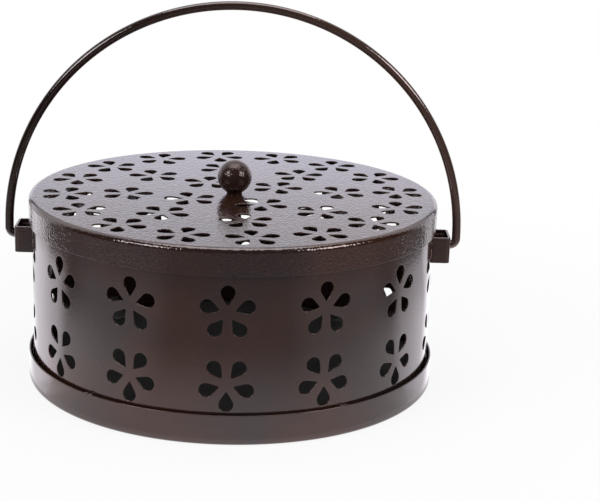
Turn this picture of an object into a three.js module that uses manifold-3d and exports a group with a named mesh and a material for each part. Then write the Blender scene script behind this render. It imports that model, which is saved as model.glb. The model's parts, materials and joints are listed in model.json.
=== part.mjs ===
// Round incense coil burner: a pierced sheet-steel box with a slip-on lid, a ball knob and a wire bail.
// Millimetres, +Z up. The origin is on the floor, under the centre of the box. The front is -Y.
import * as THREE from 'three';
import { mergeVertices } from 'three/addons/utils/BufferGeometryUtils.js';
import Module from 'manifold-3d';

const wasm = await Module();
wasm.setup();

// Sheet metal and the gaps between pieces
const sheetThickness = 0.5;
const slipGap = 0.5; // between the wall and the skirt of the lid
const rimGap = 0.9; // between the wall and the rim of the pan
const seatGap = 0.3; // where a curved face meets its neighbour
const weldGap = 0.1; // between a weld bead and the curved wall
const cornerShare = 0.9; // inner corner of the pan or the lid, as a share of its gap to the wall
const cutOverrun = 1;

// Box
const wallRadius = 61.1;
const boxHeight = 57; // floor to the top of the lid
const panRimHeight = 9;
const lidSkirtHeight = 8;
const seamLap = 6;
const seamSlit = 0.3;

// Weld tacks between the rim of the pan and the wall
const tackCount = 5;
const tackStartAngle = -39.5; // degrees from the front, towards +X
const tackLength = 3;
const tackHeight = 0.4;

// Blossoms, the same on the wall and on the lid
const petalCount = 5;
const blossomRadius = 8; // centre to petal tip
const petalLength = 6;
const petalWidth = 4.1;
const strokeBlossoms = 7; // blossoms in a stroke of the press, two of which make a row
const strokeWeb = 6.75; // sheet left between the strokes, under each ear
const rowGapShares = [0.063, 0.244]; // of the spare height: under the lower row, over the upper row
const lidWeb = 3.5; // least sheet left between neighbours in a ring
const ringWebs = [2.2, 1.2]; // sheet left between rings, from the outer ring inwards
const lidEdgeMargin = 2.25; // lid corner to the outermost petal
const ringTurns = [7.2, 7.2, 33]; // degrees, from the outer ring inwards
const ringFold = 4; // each ring holds a multiple of this many blossoms

// Ears
const earThickness = 0.7;
const earWidth = 10.5;
const earHeight = 8;
const earReach = 5.4; // wall to the outer face
const earBendRadius = 0.5;
const pivotRise = 0.6; // pivot above the middle of the ear
const earWeldLength = 3.2;
const earWeldWidth = 1.2;
const earWeldHeight = 0.8;
const pivotDrop = 6.5; // lower edge of the lid to the pivot

// Bail
const wireDiameter = 2.65;
const pivotClearance = 0.35;
const bailSideGap = 0.85; // outer face of the ear to the wire
const bailLegHeight = 2.9; // pivot to the centre of the arch
const bailBendRadius = 1.9;
const pinEndGap = 2.1; // wall to the end of the wire

// Knob and its fastening
const knobDiameter = 10.4;
const knobNeckDiameter = 4.6;
const knobNeckHeight = 0.5;
const screwDiameter = 2.5;
const screwReach = 4.5; // length of screw inside the knob
const screwHeadDiameter = 4.8;
const screwHeadHeight = 1.6;
const screwClearance = 0.3;
const washerDiameter = 6.4;
const washerThickness = 0.5;

// Fireproof mat and its clips
const matThickness = 3;
const matEdgeRadius = 0.6;
const clipCount = 4;
const clipStartAngle = 45;
const clipWidth = 8;
const clipReach = 8.5;
const clipBendRadius = 0.5;
const clipDrop = 0.5; // rim of the pan to the top of a clip

// Facets
const roundFacets = 60;
const cornerFacets = 1;
const petalFacets = 4;
const smallFacets = 16;
const beadFacets = 8;
const domeFacets = 1;
const knobFacets = 20;
const knobArcFacets = 6;
const wireFacets = 5;
const bendFacets = 4;
const archFacets = 32;

// Sizes worked out from the ones above
const wireRadius = wireDiameter / 2;
const wallInnerRadius = wallRadius - sheetThickness;
const rimInnerRadius = wallRadius + rimGap;
const rimOuterRadius = rimInnerRadius + sheetThickness;
const skirtInnerRadius = wallRadius + slipGap;
const skirtOuterRadius = skirtInnerRadius + sheetThickness;
const lidUnderside = boxHeight - sheetThickness;
const skirtEdge = boxHeight - lidSkirtHeight;
const pivotHeight = skirtEdge - pivotDrop;
const earFaceRadius = wallRadius + earReach;
const archRadius = earFaceRadius + bailSideGap + wireRadius;
const matTop = sheetThickness + matThickness;
const washerBottom = lidUnderside - washerThickness;

const radians = THREE.MathUtils.degToRad;
const quarterTurn = Math.PI / 2;

const bronzePaint = new THREE.MeshStandardMaterial({ color: 0x46393a, roughness: 0.36, metalness: 0.35 });
const wirePaint = new THREE.MeshStandardMaterial({ color: 0x41363a, roughness: 0.38, metalness: 0.35 });
const bareSteel = new THREE.MeshStandardMaterial({ color: 0x9a9a98, roughness: 0.4, metalness: 0.9 });
const glassFelt = new THREE.MeshStandardMaterial({ color: 0x8c8881, roughness: 0.95, metalness: 0 });

// Closed three.js geometry to a solid. Triangles that collapse to a line are left out.
function toSolid(geometry) {
  geometry.deleteAttribute('normal');
  geometry.deleteAttribute('uv');
  const merged = mergeVertices(geometry);
  const index = merged.index.array;
  const triVerts = [];
  for (let i = 0; i < index.length; i += 3) {
    const [a, b, c] = [index[i], index[i + 1], index[i + 2]];
    if (a !== b && b !== c && c !== a) triVerts.push(a, b, c);
  }
  return new wasm.Manifold(new wasm.Mesh({
    numProp: 3,
    vertProperties: merged.attributes.position.array,
    triVerts: Uint32Array.from(triVerts),
  }));
}

// Solid to a named mesh
function toMesh(name, solid, material) {
  const { vertProperties, triVerts } = solid.getMesh();
  const geometry = new THREE.BufferGeometry();
  geometry.setAttribute('position', new THREE.BufferAttribute(vertProperties, 3));
  geometry.setIndex(new THREE.BufferAttribute(triVerts, 1));
  geometry.computeVertexNormals();
  const mesh = new THREE.Mesh(geometry, material.clone());
  mesh.name = name;
  return mesh;
}

// Solid of revolution about Z from a path in radius and height, drawn with the metal on its left
function revolve(profile, facets = roundFacets) {
  const points = profile.getPoints(cornerFacets);
  return toSolid(new THREE.LatheGeometry(points, facets).rotateX(quarterTurn));
}

// Plain ring with square edges
function ring(innerRadius, outerRadius, bottom, top, facets = roundFacets) {
  const profile = new THREE.Path()
    .moveTo(innerRadius, bottom)
    .lineTo(outerRadius, bottom)
    .lineTo(outerRadius, top)
    .lineTo(innerRadius, top)
    .lineTo(innerRadius, bottom);
  return revolve(profile, facets);
}

// Box centred on the given point
function block(sizeX, sizeY, sizeZ, x, y, z) {
  return toSolid(new THREE.BoxGeometry(sizeX, sizeY, sizeZ).translate(x, y, z));
}

// Frame of a place on the wall at an angle from the front: x runs along the wall, y up and z outwards
function wallFrame(angle, height) {
  const along = new THREE.Vector3(Math.cos(angle), Math.sin(angle), 0);
  const up = new THREE.Vector3(0, 0, 1);
  const out = new THREE.Vector3(Math.sin(angle), -Math.cos(angle), 0);
  return new THREE.Matrix4().makeBasis(along, up, out).setPosition(0, 0, height);
}

// Angle of copy i of a count, spread evenly from a start angle in degrees
function spread(i, count, startAngle) {
  return radians(startAngle) + (i / count) * 2 * Math.PI;
}

// Teardrop outline of one petal along +Y: a round outer end and straight sides that meet at its root
function petalOutline() {
  const endRadius = petalWidth / 2;
  const endCentre = blossomRadius - endRadius;
  const root = blossomRadius - petalLength;
  const sideAngle = Math.asin(endRadius / (endCentre - root));
  const [from, to] = [-sideAngle, Math.PI + sideAngle];
  const roundEnd = new THREE.EllipseCurve(0, endCentre, endRadius, endRadius, from, to);
  return new THREE.Shape([new THREE.Vector2(0, root), ...roundEnd.getPoints(petalFacets)]);
}

// Punches of one blossom, standing on the XY plane: petals around its centre, the first along +Y
function blossomPunches(depth) {
  return Array.from({ length: petalCount }, (unused, i) => {
    const petal = new THREE.ExtrudeGeometry(petalOutline(), { depth, bevelEnabled: false });
    return petal.rotateZ(spread(i, petalCount, 0));
  });
}

// Two rows of blossoms around the wall, half a row centred on the front and half on the back.
// A blossom of the lower row has one petal down, one of the upper row has one up, and the rest face.
function wallPunches() {
  const pitch = (Math.PI * wallRadius - 2 * blossomRadius - strokeWeb) / (strokeBlossoms - 1);
  const facingReach = blossomRadius * Math.cos(Math.PI / petalCount);
  const spare = skirtEdge - panRimHeight - 2 * (blossomRadius + facingReach);
  const lowerRow = panRimHeight + rowGapShares[0] * spare + blossomRadius;
  const upperRow = skirtEdge - rowGapShares[1] * spare - blossomRadius;
  const punchStart = Math.sqrt(wallInnerRadius ** 2 - blossomRadius ** 2) - cutOverrun;
  const punchDepth = wallRadius + cutOverrun - punchStart;
  const punches = [];
  for (const [height, turn] of [[lowerRow, Math.PI], [upperRow, 0]]) {
    for (let i = 0; i < 2 * strokeBlossoms; i += 1) {
      const place = (i % strokeBlossoms) - (strokeBlossoms - 1) / 2;
      const middle = i < strokeBlossoms ? 0 : Math.PI;
      const frame = wallFrame(middle + place * (pitch / wallRadius), height);
      for (const petal of blossomPunches(punchDepth)) {
        petal.translate(0, 0, punchStart).rotateZ(turn);
        punches.push(toSolid(petal.applyMatrix4(frame)));
      }
    }
  }
  return wasm.Manifold.union(punches);
}

// Rings of blossoms on the flat of the lid, each with one petal towards the centre
function lidPunches() {
  const outerCorner = slipGap * cornerShare + sheetThickness;
  const outerRing = skirtOuterRadius - outerCorner - lidEdgeMargin - blossomRadius;
  const innermost = blossomRadius + washerDiameter / 2 + ringWebs[0];
  const punchDepth = sheetThickness + 2 * cutOverrun;
  const punches = [];
  for (let radius = outerRing, row = 0; radius > innermost; row += 1) {
    const room = (2 * Math.PI * radius) / (2 * blossomRadius + lidWeb);
    const count = ringFold * Math.max(1, Math.floor(room / ringFold));
    for (let i = 0; i < count; i += 1) {
      const angle = spread(i, count, ringTurns[row % ringTurns.length]);
      for (const petal of blossomPunches(punchDepth)) {
        petal.rotateZ(Math.PI).translate(0, radius, lidUnderside - cutOverrun);
        punches.push(toSolid(petal.rotateZ(angle - quarterTurn)));
      }
    }
    radius -= 2 * blossomRadius + ringWebs[row % ringWebs.length];
  }
  return wasm.Manifold.union(punches);
}

// Drawn pan that closes the box from below
function basePan() {
  const innerCorner = rimGap * cornerShare;
  const outerCorner = innerCorner + sheetThickness;
  const flatRadius = rimOuterRadius - outerCorner;
  const profile = new THREE.Path()
    .moveTo(0, 0)
    .lineTo(flatRadius, 0)
    .absarc(flatRadius, outerCorner, outerCorner, -quarterTurn, 0)
    .lineTo(rimOuterRadius, panRimHeight)
    .lineTo(rimInnerRadius, panRimHeight)
    .absarc(flatRadius, outerCorner, innerCorner, 0, -quarterTurn, true)
    .lineTo(0, sheetThickness);
  return revolve(profile);
}

// Punched strip, rolled into a ring and lapped behind the left ear, where one end is set in by its thickness
function wallBand() {
  const height = lidUnderside - sheetThickness;
  const middle = sheetThickness + height / 2;
  const band = ring(wallInnerRadius, wallRadius, sheetThickness, lidUnderside);
  const slit = block(2 * wallRadius, seamSlit, height + 2 * cutOverrun, -wallRadius, 0, middle);
  const bite = sheetThickness / 5;
  const tongueInner = wallInnerRadius - sheetThickness;
  const tongueRing = ring(tongueInner, wallInnerRadius + bite, sheetThickness, lidUnderside);
  const tongue = tongueRing.intersect(block(2 * wallRadius, seamLap, height, -wallRadius, 0, middle));
  return band.subtract(slit).add(tongue).subtract(wallPunches());
}

// Drawn lid with a short skirt, which slips over the wall
function lidShell() {
  const innerCorner = slipGap * cornerShare;
  const outerCorner = innerCorner + sheetThickness;
  const flatRadius = skirtOuterRadius - outerCorner;
  const cornerHeight = boxHeight - outerCorner;
  const profile = new THREE.Path()
    .moveTo(0, lidUnderside)
    .lineTo(flatRadius, lidUnderside)
    .absarc(flatRadius, cornerHeight, innerCorner, quarterTurn, 0, true)
    .lineTo(skirtInnerRadius, skirtEdge)
    .lineTo(skirtOuterRadius, skirtEdge)
    .absarc(flatRadius, cornerHeight, outerCorner, 0, quarterTurn)
    .lineTo(0, boxHeight);
  const holeRadius = screwDiameter / 2 + screwClearance;
  const screwHole = ring(0, holeRadius, washerBottom, boxHeight + cutOverrun, smallFacets);
  return revolve(profile).subtract(screwHole).subtract(lidPunches());
}

// Weld bead: half an ellipsoid, flat side down at the origin
function weldBead(length, width, height) {
  const dome = new THREE.Path().moveTo(0, 0).lineTo(1, 0).absarc(0, 0, 1, 0, quarterTurn);
  const bead = new THREE.LatheGeometry(dome.getPoints(domeFacets), beadFacets);
  return bead.rotateX(quarterTurn).scale(length / 2, width / 2, height);
}

// Tack that sits on the rim of the pan and reaches over the gap to the wall
function weldTack(angle) {
  const width = rimGap + sheetThickness - 2 * weldGap;
  const bead = weldBead(tackLength, width, tackHeight);
  bead.translate(0, -(rimOuterRadius - weldGap - width / 2), panRimHeight);
  return toSolid(bead.rotateZ(angle));
}

// Ear on the +X side: a strip bent to a channel, cut to the curve of the wall and drilled for the wire
function ear() {
  const half = earWidth / 2;
  const outerBend = earBendRadius + earThickness;
  const bendX = earFaceRadius - outerBend;
  const bendY = half - outerBend;
  const rootX = Math.sqrt(wallInnerRadius ** 2 - half ** 2);
  const outline = new THREE.Shape();
  outline.moveTo(rootX, -half);
  outline.lineTo(bendX, -half);
  outline.absarc(bendX, -bendY, outerBend, -quarterTurn, 0);
  outline.absarc(bendX, bendY, outerBend, 0, quarterTurn);
  outline.lineTo(rootX, half);
  outline.lineTo(rootX, half - earThickness);
  outline.absarc(bendX, bendY, earBendRadius, quarterTurn, 0, true);
  outline.absarc(bendX, -bendY, earBendRadius, 0, -quarterTurn, true);
  outline.lineTo(rootX, earThickness - half);
  const options = { depth: earHeight, bevelEnabled: false, curveSegments: cornerFacets };
  const bottom = pivotHeight - pivotRise - earHeight / 2;
  const channel = toSolid(new THREE.ExtrudeGeometry(outline, options).translate(0, 0, bottom));
  const wallSpace = ring(0, wallRadius + seatGap, bottom - cutOverrun, bottom + earHeight + cutOverrun);
  const drill = new THREE.CylinderGeometry(
    wireRadius + pivotClearance,
    wireRadius + pivotClearance,
    earThickness + 2 * cutOverrun,
    smallFacets,
  );
  drill.rotateZ(quarterTurn).translate(earFaceRadius - earThickness / 2, 0, pivotHeight);
  return channel.subtract(wallSpace).subtract(toSolid(drill));
}

// Weld bead in the corner between the wall and one leg of the ear on the +X side; side is -1 or 1
function earWeld(side) {
  const legFace = earWidth / 2 - earThickness;
  const wallX = Math.sqrt(wallRadius ** 2 - (legFace - earWeldHeight) ** 2);
  const bead = weldBead(earWeldWidth, earWeldLength, earWeldHeight);
  bead.rotateX(side * quarterTurn);
  bead.translate(wallX + weldGap + earWeldWidth / 2, side * legFace, pivotHeight - pivotRise);
  return toSolid(bead);
}

// Centre line of the bail: pin, bend, leg, arch and back, with stations set by each stretch's own steps
class BailLine extends THREE.Curve {
  constructor() {
    super();
    const legTop = pivotHeight + bailLegHeight;
    const bendX = archRadius - bailBendRadius;
    const bendZ = pivotHeight + bailBendRadius;
    const pinX = wallRadius + pinEndGap;
    const line = (x0, z0, x1, z1) => (u) => [x0 + (x1 - x0) * u, z0 + (z1 - z0) * u];
    const arc = (x, z, radius, from, to) => (u) => {
      const angle = from + (to - from) * u;
      return [x + radius * Math.cos(angle), z + radius * Math.sin(angle)];
    };
    this.stretches = [
      { steps: 1, at: line(pinX, pivotHeight, bendX, pivotHeight) },
      { steps: bendFacets, at: arc(bendX, bendZ, bailBendRadius, -quarterTurn, 0) },
      { steps: 1, at: line(archRadius, bendZ, archRadius, legTop) },
      { steps: archFacets, at: arc(0, legTop, archRadius, 0, Math.PI) },
      { steps: 1, at: line(-archRadius, legTop, -archRadius, bendZ) },
      { steps: bendFacets, at: arc(-bendX, bendZ, bailBendRadius, Math.PI, 3 * quarterTurn) },
      { steps: 1, at: line(-bendX, pivotHeight, -pinX, pivotHeight) },
    ];
    this.steps = this.stretches.reduce((sum, stretch) => sum + stretch.steps, 0);
  }

  getPoint(t, target = new THREE.Vector3()) {
    let station = t * this.steps;
    let stretch = this.stretches[0];
    for (stretch of this.stretches) {
      if (station <= stretch.steps) break;
      station -= stretch.steps;
    }
    const [x, z] = stretch.at(Math.min(1, station / stretch.steps));
    return target.set(x, 0, z);
  }

  getUtoTmapping(u) {
    return u;
  }
}

// Wire bail, stood upright
function bail() {
  const centreLine = new BailLine();
  const section = new THREE.Shape().absarc(0, 0, wireRadius, 0, 2 * Math.PI);
  return toSolid(new THREE.ExtrudeGeometry(section, {
    steps: centreLine.steps,
    curveSegments: wireFacets,
    extrudePath: centreLine,
  }));
}

// Turned ball on a short neck, with a blind hole for the screw
function knob() {
  const radius = knobDiameter / 2;
  const neckRadius = knobNeckDiameter / 2;
  const neckTop = boxHeight + knobNeckHeight;
  const centre = neckTop + Math.sqrt(radius ** 2 - neckRadius ** 2);
  const holeRadius = screwDiameter / 2 + screwClearance;
  const holeTop = boxHeight + screwReach + screwClearance;
  const neckAngle = Math.acos(neckRadius / radius);
  const ball = new THREE.EllipseCurve(0, centre, radius, radius, -neckAngle, quarterTurn);
  const points = [
    new THREE.Vector2(0, holeTop),
    new THREE.Vector2(holeRadius, holeTop),
    new THREE.Vector2(holeRadius, boxHeight),
    new THREE.Vector2(neckRadius, boxHeight),
    ...ball.getPoints(2 * knobArcFacets),
  ];
  return toSolid(new THREE.LatheGeometry(points, knobFacets).rotateX(quarterTurn));
}

// Round-head screw, driven from below
function knobScrew() {
  const radius = screwDiameter / 2;
  const profile = new THREE.Path()
    .moveTo(0, washerBottom - screwHeadHeight)
    .absellipse(0, washerBottom, screwHeadDiameter / 2, screwHeadHeight, -quarterTurn, 0)
    .lineTo(radius, washerBottom)
    .lineTo(radius, boxHeight + screwReach)
    .lineTo(0, boxHeight + screwReach);
  return revolve(profile, smallFacets);
}

// Plain washer between the head of the screw and the lid
function knobWasher() {
  const holeRadius = screwDiameter / 2 + screwClearance;
  return ring(holeRadius, washerDiameter / 2, washerBottom, lidUnderside, smallFacets);
}

// Felt disc on the floor of the pan
function fireproofMat() {
  const radius = wallInnerRadius - sheetThickness - seatGap;
  const profile = new THREE.Path()
    .moveTo(0, sheetThickness)
    .lineTo(radius, sheetThickness)
    .absarc(radius - matEdgeRadius, matTop - matEdgeRadius, matEdgeRadius, 0, quarterTurn)
    .lineTo(0, matTop);
  return revolve(profile);
}

// Bent strip on the inside of the wall, with its foot on the mat
function matClip(angle) {
  const back = Math.sqrt((wallInnerRadius - seatGap) ** 2 - (clipWidth / 2) ** 2);
  const outerBend = clipBendRadius + sheetThickness;
  const toe = back - clipReach;
  const top = panRimHeight - clipDrop;
  const outline = new THREE.Shape();
  outline.moveTo(toe, matTop);
  outline.lineTo(back - outerBend, matTop);
  outline.absarc(back - outerBend, matTop + outerBend, outerBend, -quarterTurn, 0);
  outline.lineTo(back, top);
  outline.lineTo(back - sheetThickness, top);
  outline.absarc(back - outerBend, matTop + outerBend, clipBendRadius, 0, -quarterTurn, true);
  outline.lineTo(toe, matTop + sheetThickness);
  const options = { depth: clipWidth, bevelEnabled: false, curveSegments: cornerFacets };
  const strip = new THREE.ExtrudeGeometry(outline, options);
  strip.rotateX(quarterTurn).translate(0, clipWidth / 2, 0);
  return toSolid(strip.rotateZ(angle));
}

const box = new THREE.Group();
box.add(toMesh('base_pan', basePan(), bronzePaint));
box.add(toMesh('wall_band', wallBand(), bronzePaint));
for (let i = 0; i < tackCount; i += 1) {
  box.add(toMesh(`weld_tack_${i + 1}`, weldTack(spread(i, tackCount, tackStartAngle)), bronzePaint));
}
box.add(toMesh('fireproof_mat', fireproofMat(), glassFelt));
for (let i = 0; i < clipCount; i += 1) {
  box.add(toMesh(`mat_clip_${i + 1}`, matClip(spread(i, clipCount, clipStartAngle)), bareSteel));
}

// The left ear is the right one turned half round, so its front and back change places
for (const [sideName, turn, frontSide] of [['right', 0, -1], ['left', Math.PI, 1]]) {
  const earGroup = new THREE.Group();
  earGroup.rotation.z = turn;
  earGroup.add(toMesh(`ear_${sideName}`, ear(), bronzePaint));
  earGroup.add(toMesh(`ear_weld_${sideName}_front`, earWeld(frontSide), bronzePaint));
  earGroup.add(toMesh(`ear_weld_${sideName}_back`, earWeld(-frontSide), bronzePaint));
  box.add(earGroup);
}

const lid = new THREE.Group();
lid.add(toMesh('lid_shell', lidShell(), bronzePaint));
lid.add(toMesh('knob', knob(), bronzePaint));
lid.add(toMesh('knob_screw', knobScrew(), bareSteel));
lid.add(toMesh('knob_washer', knobWasher(), bareSteel));

const burner = new THREE.Group();
burner.add(box);
burner.add(toMesh('bail', bail(), wirePaint));
burner.add(lid);

export default burner;
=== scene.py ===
"""Round incense coil burner: a pierced sheet-steel box with a slip-on lid, a ball knob and a wire bail.

Every surface is worked out in millimetres with numpy and put into Blender in metres. The main sizes come
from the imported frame. The box stands on the floor with its seam behind the left ear, and its front faces -Y.
"""

import json
import logging
from collections.abc import Callable
from dataclasses import dataclass, field
from enum import Enum
from typing import Any

import bpy
import numpy as np
from mathutils import Matrix, Vector
from mathutils.geometry import delaunay_2d_cdt


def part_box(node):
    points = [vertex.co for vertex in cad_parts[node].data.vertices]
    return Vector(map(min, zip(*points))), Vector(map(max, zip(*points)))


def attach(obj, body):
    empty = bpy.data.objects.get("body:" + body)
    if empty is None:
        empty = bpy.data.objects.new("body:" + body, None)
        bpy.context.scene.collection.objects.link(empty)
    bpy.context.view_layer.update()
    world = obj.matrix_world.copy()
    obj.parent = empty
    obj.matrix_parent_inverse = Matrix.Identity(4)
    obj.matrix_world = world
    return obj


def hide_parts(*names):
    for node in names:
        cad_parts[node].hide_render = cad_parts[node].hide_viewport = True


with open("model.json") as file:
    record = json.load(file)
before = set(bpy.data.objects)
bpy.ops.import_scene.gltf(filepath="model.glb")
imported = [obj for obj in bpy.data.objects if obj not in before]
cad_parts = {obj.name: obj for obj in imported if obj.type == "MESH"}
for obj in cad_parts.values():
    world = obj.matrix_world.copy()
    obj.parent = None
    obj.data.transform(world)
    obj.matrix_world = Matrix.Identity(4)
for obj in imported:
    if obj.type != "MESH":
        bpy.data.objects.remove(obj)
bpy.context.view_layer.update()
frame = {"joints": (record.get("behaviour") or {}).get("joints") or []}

logging.basicConfig(level=logging.INFO, format="%(message)s")
log = logging.getLogger("incense_burner")

Array = np.ndarray
Colour = tuple[float, float, float]
Ramp = tuple[float, float]
Pair = tuple[float, float]
Triple = tuple[float, float, float]

MM = 0.001
STEP = 1e-3
QUARTER = np.pi / 2
TURN = 2 * np.pi
EDGE_LAYER = "edge"
WORN_RADIUS = 0.3
WAVES = 6
LEAST_PITCH = 0.6
BEAD_STEPS = 12
BEAD_TURNS = 28
BEAD_WAVE = 0.9
BEAD_LEAN = 0.4


class Body(str, Enum):
    """The moving bodies of the frame."""

    BOX = "box"
    BAIL = "bail"
    LID = "lid"


class Slot(str, Enum):
    """The record's material slots."""

    BRONZE = "bronze_paint"
    WIRE = "wire_paint"
    STEEL = "bare_steel"
    FELT = "glass_felt"


# Shaders


class Signal:
    """An output socket that reads as a number in an expression."""

    def __init__(self, nodes: "Nodes", socket: bpy.types.NodeSocket) -> None:
        """Keeps the socket and the tree that it is in."""
        self.nodes = nodes
        self.socket = socket

    def _math(self, operation: str, first: Any, second: Any) -> "Signal":
        """Adds a Math node on two numbers or signals."""
        return self.nodes.add("ShaderNodeMath", {"operation": operation}, {0: first, 1: second})

    def __add__(self, other: Any) -> "Signal":
        """self + other."""
        return self._math("ADD", self, other)

    __radd__ = __add__

    def __sub__(self, other: Any) -> "Signal":
        """self - other."""
        return self._math("SUBTRACT", self, other)

    def __rsub__(self, other: Any) -> "Signal":
        """other - self."""
        return self._math("SUBTRACT", other, self)

    def __mul__(self, other: Any) -> "Signal":
        """self * other."""
        return self._math("MULTIPLY", self, other)

    __rmul__ = __mul__

    def angle(self, across: "Signal") -> "Signal":
        """Angle in radians whose sine runs with self and whose cosine runs with across."""
        return self._math("ARCTAN2", self, across)

    def between(self, low: float, high: float) -> "Signal":
        """Smooth step of the signal.

        Args:
            low: Value that gives 0.
            high: Value that gives 1.

        Returns:
            The signal from 0 to 1.
        """
        inputs = {"Value": self, "From Min": low, "From Max": high}
        return self.nodes.add("ShaderNodeMapRange", {"interpolation_type": "SMOOTHSTEP"}, inputs)


class Nodes:
    """A node tree that is filled by one method."""

    def __init__(self, tree: bpy.types.NodeTree) -> None:
        """Empties the tree and keeps it."""
        self.tree = tree
        tree.nodes.clear()

    def add(self, kind: str, settings: dict[str, Any], inputs: dict[Any, Any], output: Any = 0) -> Signal:
        """Adds one node.

        Args:
            kind: The node's type.
            settings: Attributes of the node, set before its sockets.
            inputs: Socket name or number to a value or a Signal.
            output: Socket to return.

        Returns:
            The chosen output.
        """
        node = self.tree.nodes.new(kind)
        for name, value in settings.items():
            setattr(node, name, value)
        for name, value in inputs.items():
            if isinstance(value, Signal):
                self.tree.links.new(value.socket, node.inputs[name])
            else:
                node.inputs[name].default_value = value
        outputs = node.outputs
        return Signal(self, outputs[output] if len(outputs) else None)

    def noise(self, place: Signal, size: float, detail: float = 2.0, roughness: float = 0.5) -> Signal:
        """Noise from 0 to 1.

        Args:
            place: Coordinates in metres.
            size: Size of its grains in millimetres.
            detail: Octaves.
            roughness: Weight of the finer octaves.

        Returns:
            The noise.
        """
        inputs = {"Vector": place, "Scale": 1 / (size * MM), "Detail": detail, "Roughness": roughness}
        return self.add("ShaderNodeTexNoise", {}, inputs)

    def blend(self, share: Any, first: Any, second: Any) -> Signal:
        """Mix of two colours or signals by the share of the second."""
        first, second = (c if isinstance(c, Signal) else (*c, 1.0) for c in (first, second))
        return self.add("ShaderNodeMix", {"data_type": "RGBA"}, {0: share, 6: first, 7: second}, 2)

    def mix(self, share: Any, first: Signal, second: Signal) -> Signal:
        """Mix of two shaders by the share of the second."""
        return self.add("ShaderNodeMixShader", {}, {0: share, 1: first, 2: second})

    def place(self) -> Signal:
        """Object coordinates."""
        return self.add("ShaderNodeTexCoord", {}, {}, "Object")

    def part(self, place: Signal, axis: str) -> Signal:
        """One coordinate of a place."""
        return self.add("ShaderNodeSeparateXYZ", {}, {0: place}, axis)

    def reach(self, place: Signal) -> Signal:
        """Distance of a place from the origin."""
        return self.add("ShaderNodeVectorMath", {"operation": "LENGTH"}, {0: place}, "Value")

    def edge(self) -> Signal:
        """How close a point lies to a cut edge, from 0 to 1."""
        return self.add("ShaderNodeAttribute", {"attribute_name": EDGE_LAYER}, {}, "Fac")

    def bump(self, height: Signal, depth: float, under: Signal | None = None, share: Any = 1.0) -> Signal:
        """Bump that feeds Normal.

        Args:
            height: Height from 0 to 1.
            depth: Depth of the relief in millimetres.
            under: Normal of a coarser bump.
            share: How much of the relief shows.

        Returns:
            The normal.
        """
        inputs: dict[Any, Any] = {"Height": height, "Distance": depth * MM, "Strength": share}
        if under is not None:
            inputs["Normal"] = under
        return self.add("ShaderNodeBump", {}, inputs)

    def finish(self, shader: Signal, target: str = "ShaderNodeOutputMaterial") -> None:
        """Links a shader to the tree's output."""
        self.add(target, {}, {"Surface": shader})


def new_material(name: str, shader: Callable[[Nodes], Signal]) -> bpy.types.Material:
    """A material with the shader that a function adds to its tree.

    Args:
        name: Name of the material.
        shader: Adds the shader to a tree.

    Returns:
        The new material.
    """
    material = bpy.data.materials.new(name)
    material.use_nodes = True
    nodes = Nodes(material.node_tree)
    nodes.finish(shader(nodes))
    return material


def new_mesh(name: str, points: Array, rows: list[list[int]], material: bpy.types.Material) -> bpy.types.Mesh:
    """A mesh of points in millimetres, with its material.

    Args:
        name: Name of the mesh.
        points: Points in millimetres.
        rows: Point numbers of each face.
        material: Its material.

    Returns:
        The new mesh.
    """
    mesh = bpy.data.meshes.new(name)
    mesh.from_pydata((points * MM).tolist(), [], rows)
    mesh.materials.append(material)
    return mesh


def put(name: str, data: Any) -> bpy.types.Object:
    """Puts a new object with this mesh, light or camera into the scene.

    Args:
        name: Name of the object.
        data: Its mesh, light or camera.

    Returns:
        The new object.
    """
    made = bpy.data.objects.new(name, data)
    bpy.context.scene.collection.objects.link(made)
    return made


@dataclass(frozen=True)
class Finish:
    """A surface finish. Colours are linear, sizes and depths in millimetres."""

    name: str
    slot: Slot

    def build(self) -> bpy.types.Material:
        """The material, made once."""
        return bpy.data.materials.get(self.name) or new_material(self.name, self.shader)

    def shader(self, nodes: Nodes) -> Signal:
        """The finish's shader."""
        raise NotImplementedError


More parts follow.
